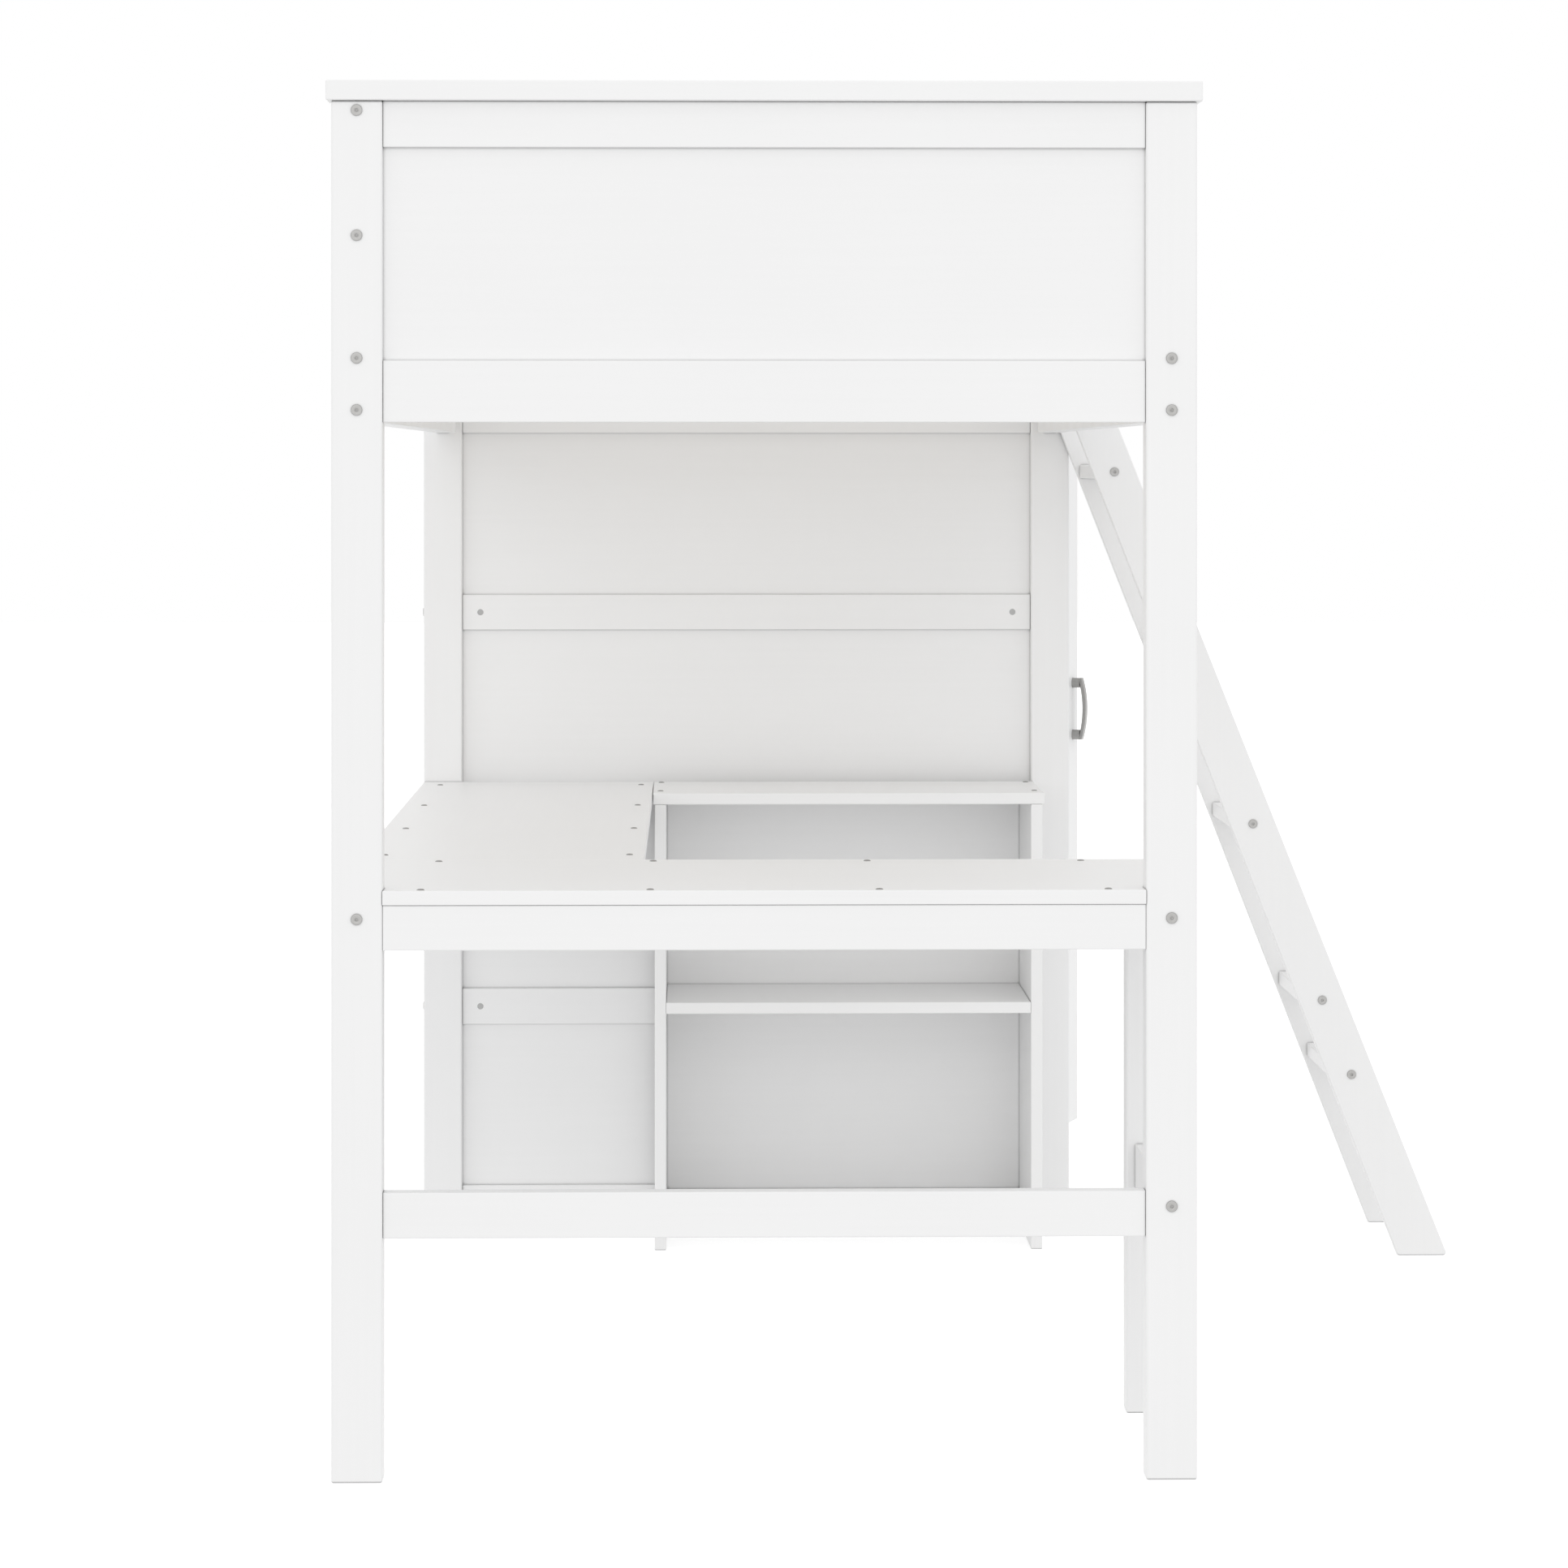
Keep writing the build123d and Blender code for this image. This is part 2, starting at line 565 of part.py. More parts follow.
def make_desk_frame():
    left_rail_x = across(*centred(LEFT_LINE, RAIL_T))
    right_rail_x = across(*centred(RIGHT_LINE, RAIL_T))
    apron_y = along(APRON_SET, APRON_SET + BOARD_T)
    board("desk_apron_front", across(POST_W, RIGHT_POST), apron_y, DESK_RAIL_Z)
    rear_x = (left_rail_x[1], LEFT + BED_WIDTH - LEG_W)
    far_x = (left_rail_x[1], LEFT + INNER_APRON - BOARD_T / 2)
    cross_aprons = [
        (rear_x, along(*centred(REAR_APRON, BOARD_T)), DESK_RAIL_Z),
        (far_x, along(*centred(FAR_APRON, BOARD_T)), DESK_RAIL_Z),
    ]
    boards("desk_cross_aprons", cross_aprons)
    board("desk_rail_left", left_rail_x, along(POST_D, FAR_POST), DESK_RAIL_Z)
    inner_y = along(REAR_APRON + BOARD_T / 2, FAR_POST - 12)
    board("desk_apron_inner", across(*centred(INNER_APRON, BOARD_T)), inner_y, DESK_RAIL_Z)
    leg_y = (DESK_DEPTH - POST_D, DESK_DEPTH)
    leg_x = across(BED_WIDTH - LEG_W, BED_WIDTH)
    board("desk_leg", leg_x, along(*leg_y), (0.0, DESK_UNDER), ease=POST_EASE)
    board("desk_rail_right", right_rail_x, along(POST_D, leg_y[0]), DESK_RAIL_Z)
    stretcher_x = across(*centred(RIGHT_LINE, STRETCHER_T))
    board("desk_stretcher", stretcher_x, along(POST_D, leg_y[0]), STRETCHER_Z)


# ---- bookcase ----------------------------------------------------------------------------------
def make_bookcase():
    depth = along(CASE_FRONT, FAR_POST)
    left_x = across(CASE_LEFT, CASE_LEFT + BOARD_T)
    right_x = across(CASE_RIGHT - BOARD_T, CASE_RIGHT)
    inside_x = (left_x[1], right_x[0])
    inside_y = along(CASE_FRONT, FAR_POST - PANEL_T)
    board("bookcase_side_left", left_x, depth, (0.0, DESK_UNDER))
    board("bookcase_side_right", right_x, depth, (0.0, DESK_UNDER))
    board("bookcase_top", across(*CASE_TOP_X), depth, (DESK_UNDER, DESK_TOP))
    board("bookcase_shelf", inside_x, inside_y, (CASE_SHELF_Z, CASE_SHELF_Z + BOARD_T))
    board("bookcase_floor", inside_x, inside_y, (CASE_FLOOR_Z, CASE_FLOOR_Z + BOARD_T))
    back_y = along(FAR_POST - PANEL_T, FAR_POST)
    board("bookcase_back", inside_x, back_y, (CASE_FLOOR_Z, DESK_UNDER), ease=0.5)


# ---- ladder ------------------------------------------------------------------------------------
def make_ladder():
    """Two stiles cut level at the floor and upright against the side rail, with level treads."""
    rail_face = RIGHT_LINE + RAIL_T / 2 + LADDER_PLAY
    top = SIDE_RAIL_Z[1]
    meets = (STILE_FOOT - rail_face) / LEAN
    outline = [
        (stile_inner(0), 0.0), (stile_outer(0), 0.0), (stile_outer(top), top), (rail_face, top),
        (rail_face, meets),
    ]
    for name, front in (("near", LADDER_NEAR), ("far", LADDER_FAR - STILE_T)):
        with BuildPart() as stile:
            with BuildSketch(Plane.XZ.offset(-(NEAR + front))):
                with BuildLine():
                    Polyline([(LEFT + x, z) for x, z in outline], close=True)
                make_face()
            extrude(amount=-STILE_T)
            foot_corners = stile.edges().filter_by(Axis.Y).group_by(Axis.Z)[0]
            fillet(foot_corners, FOOT_EASE)
            long_edges = stile.edges().filter_by(lambda edge: edge.length > 500)
            fillet(long_edges, 2.0)
            bounds = (across(rail_face, STILE_FOOT), along(front, front + STILE_T), (0.0, top))
            drill(bolts, BOLT_HOLE_R, bounds)
        save(stile, f"ladder_stile_{name}")
    span = along(LADDER_NEAR + STILE_T, LADDER_FAR - STILE_T)
    treads = [
        (across(*centred(stile_middle(z), TREAD_W)), span, centred(z, TREAD_T))
        for z in TREAD_HEIGHTS
    ]
    boards("ladder_treads", treads, ease=2.0)


# ---- wardrobe ----------------------------------------------------------------------------------
def make_wardrobe():
    depth = across(ROBE_FRONT - ROBE_DEPTH, ROBE_FRONT)
    near_y = along(ROBE_NEAR, ROBE_NEAR + BOARD_T)
    far_y = along(ROBE_NEAR + ROBE_WIDTH - BOARD_T, ROBE_NEAR + ROBE_WIDTH)
    inside_y = (near_y[1], far_y[0])
    side_z = (0.0, ROBE_H - BOARD_T)
    floor_z = (ROBE_FLOOR_Z, ROBE_FLOOR_Z + BOARD_T)
    board("wardrobe_side_near", depth, near_y, side_z, ease=1.0)
    board("wardrobe_side_far", depth, far_y, side_z, ease=1.0)
    board("wardrobe_top", depth, (near_y[0], far_y[1]), (side_z[1], ROBE_H), ease=1.0)
    board("wardrobe_floor", depth, inside_y, floor_z, ease=1.0)
    back_x = (depth[0], depth[0] + PANEL_T)
    back_z = (floor_z[1], side_z[1])
    board("wardrobe_back", back_x, inside_y, back_z, ease=0.5)
    shelf_x = (back_x[1], depth[1] - BOARD_T - 8)
    board("wardrobe_shelf", shelf_x, inside_y, (ROBE_SHELF_Z, ROBE_SHELF_Z + BOARD_T))
    plinth_x = (depth[1] - PLINTH_SET - BOARD_T, depth[1] - PLINTH_SET)
    board("wardrobe_plinth", plinth_x, inside_y, (0.0, ROBE_FLOOR_Z))


def make_hanging_rail():
    """A round tube held at both ends in flanged cups on the wardrobe's sides."""
    rail_x = LEFT + ROBE_FRONT - ROBE_DEPTH / 2
    near_face = NEAR + ROBE_NEAR + BOARD_T
    far_face = NEAR + ROBE_NEAR + ROBE_WIDTH - BOARD_T
    end_play = 1.0
    inset = SOCKET_FLOOR + end_play
    with BuildPart() as rail:
        with BuildSketch(Plane((rail_x, near_face + inset, HANG_RAIL_Z), z_dir=(0, 1, 0))):
            Circle(HANG_RAIL_R)
            Circle(HANG_RAIL_R - HANG_RAIL_WALL, mode=Mode.SUBTRACT)
        extrude(amount=far_face - near_face - 2 * inset)
    save(rail, "hanging_rail")
    with BuildPart() as sockets:
        for face, way in ((near_face, 1), (far_face, -1)):
            with Locations(Plane((rail_x, face, HANG_RAIL_Z), z_dir=(0, way, 0))):
                Cylinder(SOCKET_R, SOCKET_FLANGE, align=STANDING)
                Cylinder(HANG_RAIL_R + SOCKET_WALL, SOCKET_T, align=STANDING)
            bore = Plane((rail_x, face + way * SOCKET_FLOOR, HANG_RAIL_Z), z_dir=(0, way, 0))
            with Locations(bore):
                Cylinder(HANG_RAIL_R + 0.1, SOCKET_T, align=STANDING, mode=Mode.SUBTRACT)
    save(sockets, "hanging_rail_sockets")


def door_plane(z=0.0):
    """The door's own plane: x points out of its face and y from the hinge to its free edge."""
    angle = math.radians(DOOR_AJAR)
    outward = (math.cos(angle), -math.sin(angle), 0)
    return Plane(origin=(LEFT + PIVOT[0], NEAR + PIVOT[1], z), x_dir=outward, z_dir=(0, 0, 1))


def make_door():
    low = ROBE_FLOOR_Z + BOARD_T + DOOR_GAP
    high = ROBE_H - BOARD_T - DOOR_GAP
    face = ROBE_FRONT - PIVOT[0]
    with BuildPart() as door:
        with BuildSketch(door_plane(low)):
            with Locations((face - BOARD_T, DOOR_GAP / 2)):
                Rectangle(BOARD_T, DOOR_W, align=(Align.MIN, Align.MIN))
        extrude(amount=high - low)
        fillet(door.edges(), 2.0)
    save(door, "wardrobe_door")


def make_handle():
    """A bow handle: two round feet and a flat bow that arches out between them."""
    face = ROBE_FRONT - PIVOT[0]
    y = DOOR_GAP / 2 + DOOR_W - HANDLE_FROM_EDGE
    half = HANDLE_PITCH / 2 + HANDLE_FOOT_R
    side_view = Plane(
        origin=door_plane(HANDLE_CENTRE_Z).from_local_coords((face, y + BOW_W / 2, 0)),
        x_dir=door_plane().x_dir,
        z_dir=-door_plane().y_dir,
    )
    with BuildPart() as handle:
        with BuildSketch(side_view):
            with BuildLine():
                ThreePointArc((BOW_END, -half), (BOW_MIDDLE, 0), (BOW_END, half))
                Line((BOW_END, half), (BOW_END - BOW_T, half))
                ThreePointArc(
                    (BOW_END - BOW_T, half), (BOW_MIDDLE - BOW_T, 0), (BOW_END - BOW_T, -half)
                )
                Line((BOW_END - BOW_T, -half), (BOW_END, -half))
            make_face()
        extrude(amount=BOW_W)
        fillet(handle.edges(), 1.2)
        for z in (HANDLE_CENTRE_Z - HANDLE_PITCH / 2, HANDLE_CENTRE_Z + HANDLE_PITCH / 2):
            foot = door_plane(z).from_local_coords((face, y, 0))
            with Locations(Plane(origin=foot, z_dir=door_plane().x_dir)):
                Cylinder(HANDLE_FOOT_R, BOW_END - BOW_T + 2.5, align=STANDING)
    save(handle, "door_handle")


def knuckle(plane, low, high, radius=KNUCKLE_R, mode=Mode.ADD):
    with Locations(Plane(origin=plane.offset(low).origin, z_dir=(0, 0, 1))):
        Cylinder(radius, high - low, align=STANDING, mode=mode)


def add_leaf(plane, y_low, x_end, low, high):
    """A hinge leaf's plate, in plan coordinates about the pin."""
    with Locations(plane.offset(low)):
        with Locations((-LEAF_W, y_low)):
            Box(LEAF_W + x_end, LEAF_T, high - low, align=CORNER)


def make_hinges():
    """Butt hinges: the frame's leaf has the outer knuckles and the pin, the door's the middle."""
    still = Plane(origin=(LEFT + PIVOT[0], NEAR + PIVOT[1], 0))
    turned = door_plane()
    reach = 1.5 * KNUCKLE_H + KNUCKLE_GAP
    clear = -(KNUCKLE_R + 0.3)
    with BuildPart() as fixed:
        for z in HINGE_HEIGHTS:
            outer = ((z - reach, z - reach + KNUCKLE_H), (z + reach - KNUCKLE_H, z + reach))
            add_leaf(still, -DOOR_GAP / 2, clear, z - reach, z + reach)
            for low, high in outer:
                add_leaf(still, -DOOR_GAP / 2, 0, low, high)
                knuckle(still, low, high)
            knuckle(still, z - reach, z + reach, PIN_R)
    save(fixed, "hinge_leaves_frame")
    with BuildPart() as moving:
        for z in HINGE_HEIGHTS:
            middle = (z - KNUCKLE_H / 2, z + KNUCKLE_H / 2)
            add_leaf(turned, DOOR_GAP / 2 - LEAF_T, clear, z - reach, z + reach)
            add_leaf(turned, DOOR_GAP / 2 - LEAF_T, 0, *middle)
            knuckle(turned, *middle)
            knuckle(turned, *middle, PIN_R + PIN_PLAY, Mode.SUBTRACT)
    save(moving, "hinge_leaves_door")


# ---- fasteners ---------------------------------------------------------------------------------
def along_path(path):
    start, way, _ = path
    return Plane(origin=start, z_dir=way)


def grouped_by_length(paths):
    """The planes of the paths of each length."""
    lengths = sorted({length for _, _, length in paths})
    return {
        length: [along_path(path) for path in paths if path[2] == length] for length in lengths
    }


def make_bolts():
    """Flat-headed connector bolts with a hexagon socket."""
    with BuildPart() as group:
        for length, places in grouped_by_length(bolts).items():
            with Locations(*places):
                Cylinder(BOLT_R, length - 1, align=STANDING)
        heads = [along_path(path).offset(-BOLT_HEAD_T) for path in bolts]
        with Locations(*heads):
            Cylinder(BOLT_HEAD_R, BOLT_HEAD_T, align=STANDING)
        with BuildSketch(*heads):
            RegularPolygon(BOLT_KEY / 2, 6, major_radius=False)
        extrude(amount=BOLT_KEY_DEPTH, mode=Mode.SUBTRACT)
    save(group, "frame_bolts")


def make_nuts():
    """Barrel nuts lying across the bolts, each with a clear cross hole."""
    with BuildPart() as group:
        with Locations(*[along_path(path) for path in nuts]):
            Cylinder(NUT_R, NUT_LENGTH, align=STANDING)
        for length, places in grouped_by_length(bolts).items():
            with Locations(*places):
                Cylinder(BOLT_R + 0.05, length + 1, align=STANDING, mode=Mode.SUBTRACT)
    save(group, "barrel_nuts")


def make_dowels():
    with BuildPart() as group:
        for length, places in grouped_by_length(dowels).items():
            with Locations(*places):
                Cylinder(DOWEL_R - DOWEL_PLAY, length, align=STANDING)
    save(group, "dowels")


def turned_screw(length, neck, head):
    """One screw on the Z axis: a shank, a neck below the head's seat and the head's outline."""
    with BuildPart() as one:
        with BuildSketch(Plane.XZ):
            with BuildLine():
                Polyline((0, -length), (SCREW_R, -length), (SCREW_R, -neck), *head, close=True)
            make_face()
        revolve(axis=Axis.Z)
    return one.part


def make_screws():
    """Low domed screws in the desk tops and the bookcase's top, flat ones sunk in the slats."""
    dome = [
        (SCREW_HEAD_R, 0), (SCREW_HEAD_R * 0.92, SCREW_HEAD_T * 0.4),
        (SCREW_HEAD_R * 0.72, SCREW_HEAD_T * 0.75), (SCREW_HEAD_R * 0.4, SCREW_HEAD_T),
        (0, SCREW_HEAD_T),
    ]
    domed = turned_screw(SCREW_LENGTH, 0, dome)
    flat = turned_screw(SLAT_T + 18, SINK_T, [(SINK_R, 0), (0, 0)])
    with BuildPart() as group:
        for one, paths in ((domed, screws), (flat, slat_screws)):
            with Locations(*[start for start, _, _ in paths]):
                add(one)
    save(group, "board_screws")


post_bolts()
wall_bolts()
ladder_bolts()
guard_bolts()
frame_dowels()
case_dowels()
board_screws()

make_posts()
make_end_frames()
make_bed_sides()
make_guards()
make_desk_tops()
make_desk_frame()
make_bookcase()
make_ladder()
make_wardrobe()
make_hanging_rail()
make_door()
make_handle()
make_hinges()
make_bolts()
make_nuts()
make_dowels()
make_screws()
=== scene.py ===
"""Looks for the white loft bed with its desk, bookcase, ladder and wardrobe."""
import json
import math

import bmesh
import bpy
from mathutils import Matrix, Vector


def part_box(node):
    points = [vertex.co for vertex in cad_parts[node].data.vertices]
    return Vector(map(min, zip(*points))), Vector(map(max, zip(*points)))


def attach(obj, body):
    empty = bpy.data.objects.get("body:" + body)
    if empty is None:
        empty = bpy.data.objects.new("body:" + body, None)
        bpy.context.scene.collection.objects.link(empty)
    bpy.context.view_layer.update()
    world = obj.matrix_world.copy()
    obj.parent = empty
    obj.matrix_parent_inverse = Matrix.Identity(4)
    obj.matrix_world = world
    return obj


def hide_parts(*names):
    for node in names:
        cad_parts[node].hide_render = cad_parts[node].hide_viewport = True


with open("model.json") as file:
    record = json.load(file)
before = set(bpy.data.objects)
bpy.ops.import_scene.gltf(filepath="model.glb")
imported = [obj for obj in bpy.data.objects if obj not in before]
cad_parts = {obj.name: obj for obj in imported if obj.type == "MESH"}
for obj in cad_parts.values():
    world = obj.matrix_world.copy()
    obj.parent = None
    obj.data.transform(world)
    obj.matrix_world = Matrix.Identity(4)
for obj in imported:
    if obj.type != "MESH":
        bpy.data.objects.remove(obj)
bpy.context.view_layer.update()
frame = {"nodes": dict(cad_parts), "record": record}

MM = 0.001
WHITE = (1.0, 1.0, 1.0)

# ---- fasteners, in millimetres, as in the CAD ---------------------------------------------------
BOLT_KEY = 4.0           # hexagon socket, across its flats
BOLT_KEY_FLOOR = -2.9    # the socket's floor, from the head's face
BOLT_HEAD = 2.0          # the head's thickness
BOLT_SHANK = 3.0         # radius
SCREW_SHANK = 2.0
SCREW_DOME = 1.6         # how far a domed head stands up
SCREW_DOME_FROM = 4.5    # a head with a larger radius than this is domed
SCREW_NECK = 1.9         # depth of a flat head's cone

# ---- light -------------------------------------------------------------------------------------
# The studio's brightness at elevations in degrees.
SKY = ((-30.0, 0.68), (-8.0, 1.0), (12.0, 1.0), (38.0, 0.96))
FRONT_LIGHT = 0.30
FRONT_SPREAD = 40.0      # degrees, like the next two
FRONT_RISE = 9.0
FRONT_SIDE = 4.0
FLOOR_SIZE = 60.0        # metres
FLOOR_GLOW = 0.50

# ---- camera, in millimetres and degrees --------------------------------------------------------
LENS = 107.38
CAMERA_SHIFT = -0.2041
CAMERA_ACROSS = 446.7    # to the right of the near left post's outer face
CAMERA_BACK = 5764.0     # in front of its front face
CAMERA_HEIGHT = 1254.5
CAMERA_TURN = 1.102      # to the right


# ---- material building blocks ------------------------------------------------------------------
class Recipe:
    """A material's node tree, built a node at a time in the object's own coordinates."""

    def __init__(self, name, **shader):
        self.material = bpy.data.materials.new(name)
        self.material.use_nodes = True
        self.nodes = self.material.node_tree.nodes
        self.links = self.material.node_tree.links
        self.shader = self.nodes["Principled BSDF"]
        self.place = self.nodes.new("ShaderNodeTexCoord").outputs["Object"]
        for socket, value in shader.items():
            self.shader.inputs[socket.replace("_", " ")].default_value = value

    def stretched(self, scale):
        node = self.nodes.new("ShaderNodeMapping")
        node.inputs["Scale"].default_value = scale
        self.links.new(self.place, node.inputs["Vector"])
        return node.outputs["Vector"]

    def noise(self, scale, detail=3.0, roughness=0.5, distortion=0.0):
        node = self.nodes.new("ShaderNodeTexNoise")
        node.inputs["Scale"].default_value = 1.0
        node.inputs["Detail"].default_value = detail
        node.inputs["Roughness"].default_value = roughness
        node.inputs["Distortion"].default_value = distortion
        self.links.new(self.stretched(scale), node.inputs["Vector"])
        return node.outputs["Fac"]

    def spread(self, value, low, high, source=(0.3, 0.7)):
        node = self.nodes.new("ShaderNodeMapRange")
        node.inputs["From Min"].default_value = source[0]
        node.inputs["From Max"].default_value = source[1]
        node.inputs["To Min"].default_value = low
        node.inputs["To Max"].default_value = high
        self.links.new(value, node.inputs["Value"])
        return node.outputs["Result"]

    def colours(self, value, stops):
        node = self.nodes.new("ShaderNodeValToRGB")
        ramp = node.color_ramp
        while len(ramp.elements) < len(stops):
            ramp.elements.new(0.5)
        for element, (position, colour) in zip(ramp.elements, stops):
            element.position = position
            element.color = (*colour, 1.0)
        self.links.new(value, node.inputs["Fac"])
        return node.outputs["Color"]

    def multiply(self, first, second):
        node = self.nodes.new("ShaderNodeMix")
        node.data_type = "RGBA"
        node.blend_type = "MULTIPLY"
        node.inputs["Factor"].default_value = 1.0
        self.links.new(first, node.inputs["A"])
        self.links.new(second, node.inputs["B"])
        return node.outputs["Result"]

    def bump(self, height, depth, below=None):
        node = self.nodes.new("ShaderNodeBump")
        node.inputs["Strength"].default_value = 1.0
        node.inputs["Distance"].default_value = depth
        self.links.new(height, node.inputs["Height"])
        if below is not None:
            self.links.new(below, node.inputs["Normal"])
        return node.outputs["Normal"]

    def painted_crevice_shade(self, reach=0.005, darkest=0.55):
        """Painted shade: thin dark lines in crevices, corners and where boards meet, wherever another
        surface lies within reach; open surfaces stay untouched.
        """
        node = self.nodes.new("ShaderNodeAmbientOcclusion")
        node.samples = 8
        node.inputs["Distance"].default_value = reach
        return self.colours(node.outputs["AO"], [(0.25, (darkest,) * 3), (0.85, WHITE)])

    def finish(self, colour=None, roughness=None, normal=None):
        for socket, value in (("Base Color", colour), ("Roughness", roughness), ("Normal", normal)):
            if value is not None:
                self.links.new(value, self.shader.inputs[socket])
        return self.material


GRAIN_ALONG = {"x": (2.6, 130.0, 130.0), "y": (130.0, 2.6, 130.0), "z": (130.0, 130.0, 2.6)}


def lacquer(name, axis, bright=0.925):
    """Sprayed satin white over wood: faint grain along one axis and a fine orange peel."""
    recipe = Recipe(name, Coat_Weight=0.12, Coat_Roughness=0.22, IOR=1.47)
    grain = recipe.noise(GRAIN_ALONG[axis], detail=5.0, roughness=0.62, distortion=0.25)
    cloud = recipe.noise((2.2, 2.2, 2.2), detail=2.0)
    peel = recipe.noise((620.0, 620.0, 620.0), detail=1.5)
    tone = recipe.colours(
        recipe.spread(grain, 0.0, 1.0),
        [(0.0, (bright - 0.009,) * 3), (1.0, (bright,) * 3)],
    )
    shade = recipe.colours(cloud, [(0.35, (0.985, 0.985, 0.985)), (0.65, WHITE)])
    # painted shade: the colour darkens in crevices and between boards
    shade = recipe.multiply(shade, recipe.painted_crevice_shade())
    rough = recipe.spread(cloud, 0.36, 0.46)
    normal = recipe.bump(peel, 0.00003)
    normal = recipe.bump(grain, 0.00004, below=normal)
    return recipe.finish(recipe.multiply(tone, shade), rough, normal)


def pine():
    """Planed bare pine for the slats: growth rings and fibres that run across the bed."""
    recipe = Recipe("bare_pine", Specular_IOR_Level=0.4)
    rings = recipe.nodes.new("ShaderNodeTexWave")
    rings.wave_type = "BANDS"
    rings.bands_direction = "Y"
    rings.inputs["Scale"].default_value = 22.0
    rings.inputs["Distortion"].default_value = 5.5
    rings.inputs["Detail"].default_value = 3.0
    rings.inputs["Detail Scale"].default_value = 1.4
    recipe.links.new(recipe.stretched((0.22, 1.0, 1.0)), rings.inputs["Vector"])
    fibre = recipe.noise((9.0, 620.0, 620.0), detail=4.0, roughness=0.6)
    cloud = recipe.noise((3.0, 6.0, 6.0), detail=2.0)
    tone = recipe.colours(
        rings.outputs["Fac"],
        [(0.0, (0.80, 0.73, 0.63)), (0.55, (0.87, 0.82, 0.75)), (1.0, (0.90, 0.87, 0.82))],
    )
    fibres = recipe.colours(fibre, [(0.3, (0.93, 0.915, 0.89)), (0.7, WHITE)])
    clouds = recipe.colours(cloud, [(0.3, (0.95, 0.94, 0.92)), (0.7, WHITE)])
    colour = recipe.multiply(recipe.multiply(tone, fibres), clouds)
    normal = recipe.bump(fibre, 0.0001)
    return recipe.finish(colour, recipe.spread(fibre, 0.5, 0.66), normal)


def brushed(name, colour, rough, grain=(900.0, 900.0, 60.0), painted_shade_reach=None):
    """Plated metal with fine brush lines, a slightly uneven gloss and, where asked, painted shade
    darkening its crevices.
    """
    recipe = Recipe(name, Metallic=1.0)
    lines = recipe.noise(grain, detail=2.0)
    cloud = recipe.noise((45.0, 45.0, 45.0), detail=2.0)
    dark = tuple(channel * 0.93 for channel in colour)
    tone = recipe.colours(lines, [(0.3, dark), (0.7, colour)])
    shade = recipe.colours(cloud, [(0.3, (0.95, 0.95, 0.945)), (0.7, WHITE)])
    # painted shade, nearly black, in sockets and where a head meets the board
    if painted_shade_reach:
        shade = recipe.multiply(shade, recipe.painted_crevice_shade(painted_shade_reach, 0.12))
    roughness = recipe.spread(lines, rough - 0.05, rough + 0.06)
    return recipe.finish(recipe.multiply(tone, shade), roughness, recipe.bump(lines, 0.00001))


LACQUER = {axis: lacquer(f"white_lacquer_{axis}", axis) for axis in "xyz"}
PANEL = lacquer("white_panel", "x", bright=0.92)
PINE = pine()
NICKEL = brushed("satin_nickel", (0.42, 0.416, 0.408), 0.42)
# the zinc bolts get painted shade in their hexagon sockets and around their heads
ZINC = brushed("zinc_plate", (0.39, 0.39, 0.388), 0.40, grain=(300.0,) * 3, painted_shade_reach=0.002)
CHROME = brushed("chrome_plate", (0.78, 0.78, 0.79), 0.14, grain=(900.0, 30.0, 900.0))

SLOTS = {part["node"]: part["material_slot"] for part in frame["record"]["subparts"]}
PLAIN = {
    "satin_nickel": NICKEL, "zinc_plate": ZINC, "chrome_plate": CHROME, "bare_pine": PINE,
    "white_panel": PANEL,
}


def grain_axis(node):
    """A board's grain runs along its longest side; a group of bars follows one bar."""
    if node in ("guard_bars_left", "guard_uprights_right"):
        return "z"
    if node == "ladder_treads":
        return "y"
    low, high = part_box(node)
    sides = [high[index] - low[index] for index in range(3)]
    return "xyz"[sides.index(max(sides))]


def paint(piece, material):
    piece.data.materials.clear()
    piece.data.materials.append(material)


for name, piece in frame["nodes"].items():
    material = PLAIN.get(SLOTS[name])
    paint(piece, material if material else LACQUER[grain_axis(name)])


# ---- fasteners ---------------------------------------------------------------------------------
def islands(node):
    """Every separate solid of a CAD node, as the points of its surface."""
    shape = bmesh.new()
    shape.from_mesh(frame["nodes"][node].data)
    bmesh.ops.remove_doubles(shape, verts=shape.verts, dist=0.002 * MM)
    waiting = set(shape.verts)
    found = []
    while waiting:
        fresh = [waiting.pop()]
        points = []
        while fresh:
            point = fresh.pop()
            points.append(point.co.copy())
            for edge in point.link_edges:
                other = edge.other_vert(point)
                if other in waiting:
                    waiting.remove(other)
                    fresh.append(other)
        found.append(points)
    shape.free()
    return sorted(found, key=lambda points: tuple(round(value, 5) for value in points_box(points)[0]))


def points_box(points):
    low = Vector([min(point[axis] for point in points) for axis in range(3)])
    high = Vector([max(point[axis] for point in points) for axis in range(3)])
    return low, high


def fastener(points):
    """Where a fastener's head is, which way it looks, its length and its head's radius."""
    low, high = points_box(points)
    size = high - low
    axis = max(range(3), key=lambda index: size[index])
    middle = (low + high) / 2
    radius = max(size[index] for index in range(3) if index != axis) / 2
    wide = [point for point in points if off_axis(point, middle, axis) > 0.9 * radius]
    side = 1 if wide[0][axis] > middle[axis] else -1
    way = Vector([side if index == axis else 0 for index in range(3)])
    face = middle + way * size[axis] / 2
    place = Matrix.Translation(face) @ way.to_track_quat("Z", "Y").to_matrix().to_4x4()
    return place, size[axis] / MM, radius / MM


def off_axis(point, middle, axis):
    return math.hypot(*[point[index] - middle[index] for index in range(3) if index != axis])


def around(radius):
    return lambda turn: radius


def hexagon(flats):
    """A hexagon's radius at an angle, for its size across the flats."""
    return lambda turn: flats / 2 / math.cos((turn + math.pi / 6) % (math.pi / 3) - math.pi / 6)


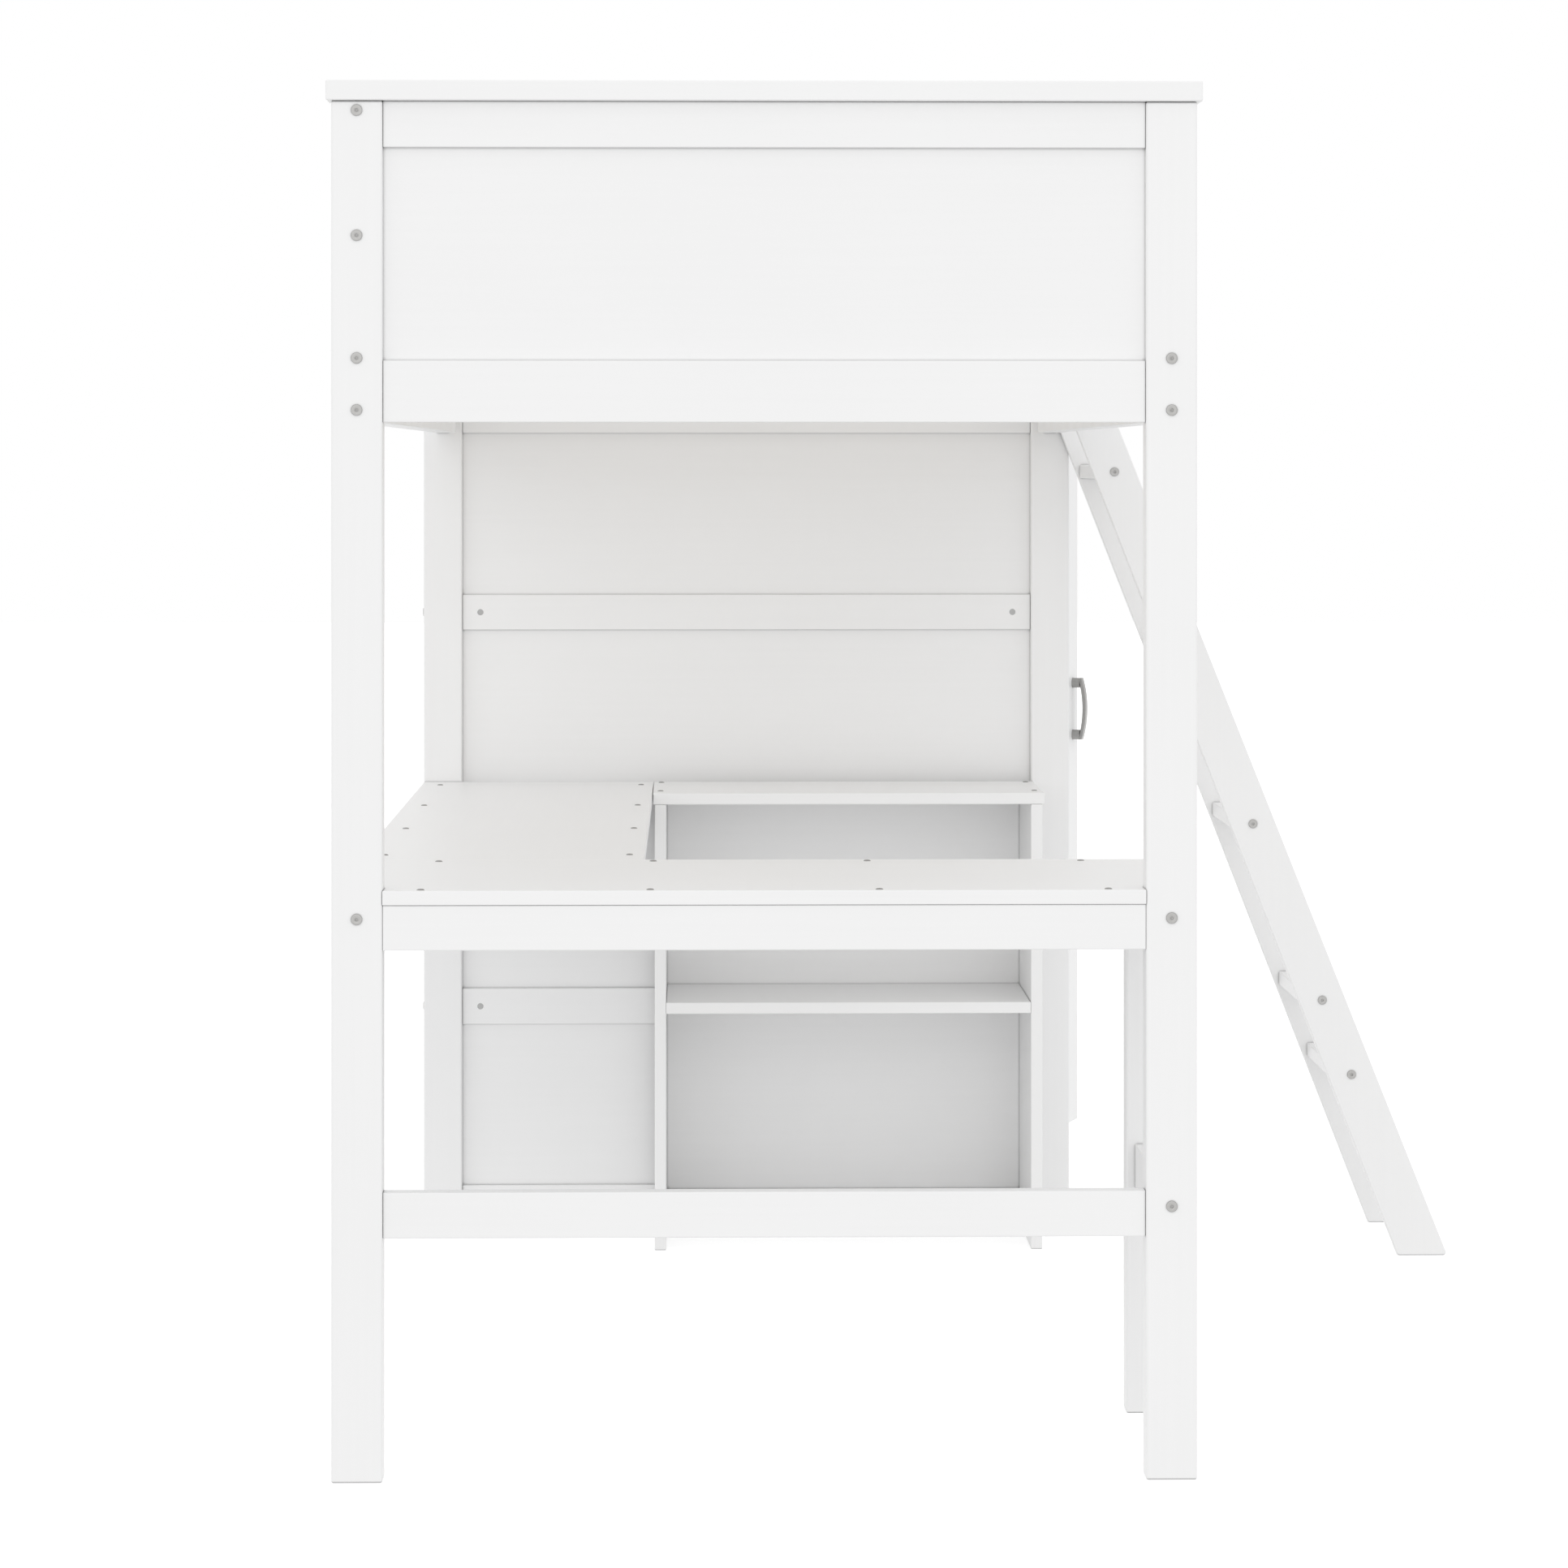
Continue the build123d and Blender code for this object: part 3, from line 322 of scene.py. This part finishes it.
def cross(reach, width):
    """A cross recess's radius at an angle, for how far its arms reach and their width."""
    def radius(turn):
        off = abs((turn + math.pi / 4) % (math.pi / 2) - math.pi / 4)
        in_arm = math.tan(off) <= width / 2 / reach + 1e-6
        return reach / math.cos(off) if in_arm else width / 2 / math.sin(off)
    return radius


def skin(shape, place, rings, turns):
    """A closed surface over rings, each its radius at an angle and its height, in millimetres."""
    loops = []
    for radius, height in rings:
        corners = [(radius(turn) * math.cos(turn), radius(turn) * math.sin(turn)) for turn in turns]
        loops.append([shape.verts.new(place @ (Vector((x, y, height)) * MM)) for x, y in corners])
    shape.faces.new(list(reversed(loops[0])))
    shape.faces.new(loops[-1])
    for lower, upper in zip(loops, loops[1:]):
        for index in range(len(turns)):
            after = (index + 1) % len(turns)
            shape.faces.new((lower[index], lower[after], upper[after], upper[index]))


def bolt(shape, place, length, radius):
    """A connector bolt: a turned head with a rolled rim, a ring, a hexagon socket and a shank."""
    turns = [math.radians(12 * step) for step in range(30)]
    key = hexagon(BOLT_KEY)
    rings = [
        (around(0.4), BOLT_KEY_FLOOR - 0.5), (key, BOLT_KEY_FLOOR), (key, -0.35),
        (around(BOLT_KEY / 2 + 0.75), -0.05),
        (around(radius * 0.52), -0.05), (around(radius * 0.56), 0.0), (around(radius * 0.86), 0.0),
        (around(radius * 0.95), -0.12), (around(radius), -0.55), (around(radius), -1.75),
        (around(radius * 0.97), -BOLT_HEAD), (around(BOLT_SHANK), -BOLT_HEAD - 0.02),
        (around(BOLT_SHANK), 1.0 - length), (around(BOLT_SHANK * 0.7), -length),
    ]
    skin(shape, place, rings, turns)


def wood_screw(shape, place, length, radius):
    """A screw with a cross recess: domed where it stands proud, flat where it is sunk."""
    quarter = [-45, -30, -16, -8, 8, 16, 30]
    turns = [math.radians(90 * side + turn) for side in range(4) for turn in quarter]
    recess = cross(radius * 0.56, radius * 0.34)
    seat = SCREW_DOME if radius > SCREW_DOME_FROM else 0.0
    rings = [
        (cross(radius * 0.2, radius * 0.12), -2.0 - seat / 2), (recess, -0.12),
        (around(radius * 0.6), -0.1 * seat), (around(radius * 0.78), -0.32 * seat),
        (around(radius * 0.93), -0.66 * seat), (around(radius), -seat - 0.02),
        (around(SCREW_SHANK), -seat - (0.05 if seat else SCREW_NECK)),
        (around(SCREW_SHANK), 3.0 - length), (around(0.3), -length),
    ]
    skin(shape, place, rings, turns)


def make_fasteners(name, node, make_one):
    shape = bmesh.new()
    for points in islands(node):
        make_one(shape, *fastener(points))
    bmesh.ops.recalc_face_normals(shape, faces=shape.faces)
    mesh = bpy.data.meshes.new(name)
    shape.to_mesh(mesh)
    shape.free()
    mesh.shade_smooth()
    mesh.set_sharp_from_angle(angle=math.radians(32))
    piece = bpy.data.objects.new(name, mesh)
    bpy.context.scene.collection.objects.link(piece)
    paint(piece, PLAIN[SLOTS[node]])
    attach(piece, "frame")
    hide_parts(node)


# ---- stage -------------------------------------------------------------------------------------
def make_floor():
    mesh = bpy.data.meshes.new("floor")
    shape = bmesh.new()
    bmesh.ops.create_grid(shape, x_segments=8, y_segments=8, size=FLOOR_SIZE / 2)
    shape.to_mesh(mesh)
    shape.free()
    floor = bpy.data.objects.new("floor", mesh)
    bpy.context.scene.collection.objects.link(floor)
    recipe = Recipe("floor_white", Specular_IOR_Level=0.1, Emission_Strength=FLOOR_GLOW)
    cloud = recipe.noise((0.7, 0.7, 0.7), detail=2.0)
    tone = recipe.colours(cloud, [(0.3, (0.80, 0.80, 0.80)), (0.7, (0.82, 0.82, 0.82))])
    paint(floor, recipe.finish(tone, recipe.spread(cloud, 0.8, 0.9)))
    floor.visible_diffuse = False


def make_light():
    """An even white studio, brightest near the horizon, and one broad light in front."""
    world = bpy.data.worlds.new("studio")
    bpy.context.scene.world = world
    world.use_nodes = True
    nodes = world.node_tree.nodes
    links = world.node_tree.links
    direction = nodes.new("ShaderNodeTexCoord").outputs["Generated"]
    split = nodes.new("ShaderNodeSeparateXYZ")
    links.new(direction, split.inputs["Vector"])
    height = nodes.new("ShaderNodeMapRange")
    height.inputs["From Min"].default_value = -1.0
    links.new(split.outputs["Z"], height.inputs["Value"])
    fall = nodes.new("ShaderNodeValToRGB")
    ramp = fall.color_ramp
    ramp.interpolation = "EASE"
    while len(ramp.elements) < len(SKY):
        ramp.elements.new(0.5)
    for element, (elevation, strength) in zip(ramp.elements, SKY):
        element.position = (1 + math.sin(math.radians(elevation))) / 2
        element.color = (strength,) * 3 + (1.0,)
    links.new(height.outputs["Result"], fall.inputs["Fac"])
    links.new(fall.outputs["Color"], nodes["Background"].inputs["Color"])
    data = bpy.data.lights.new("front_soft", "SUN")
    data.energy = FRONT_LIGHT
    data.angle = math.radians(FRONT_SPREAD)
    light = bpy.data.objects.new("front_soft", data)
    turn = math.radians(FRONT_SIDE)
    rise = math.radians(FRONT_RISE)
    level = math.cos(rise)
    towards = Vector((math.sin(turn) * level, math.cos(turn) * level, -math.sin(rise)))
    light.rotation_euler = towards.to_track_quat("-Z", "Y").to_euler()
    bpy.context.scene.collection.objects.link(light)


def make_camera():
    """Level, in front of the bed's near end, a little left of its middle and turned to the right."""
    near_post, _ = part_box("post_near_left")
    data = bpy.data.cameras.new("camera")
    data.sensor_width = 36.0
    data.lens = LENS
    data.shift_y = CAMERA_SHIFT
    data.clip_end = 100.0
    camera = bpy.data.objects.new("camera", data)
    camera.location = (
        near_post[0] + CAMERA_ACROSS * MM,
        near_post[1] - CAMERA_BACK * MM,
        CAMERA_HEIGHT * MM,
    )
    camera.rotation_euler = (math.radians(90), 0.0, -math.radians(CAMERA_TURN))
    bpy.context.scene.collection.objects.link(camera)
    bpy.context.scene.camera = camera


make_fasteners("bolts_detailed", "frame_bolts", bolt)
make_fasteners("screws_detailed", "board_screws", wood_screw)
make_floor()
make_light()
make_camera()
bpy.context.scene.view_settings.view_transform = "Standard"
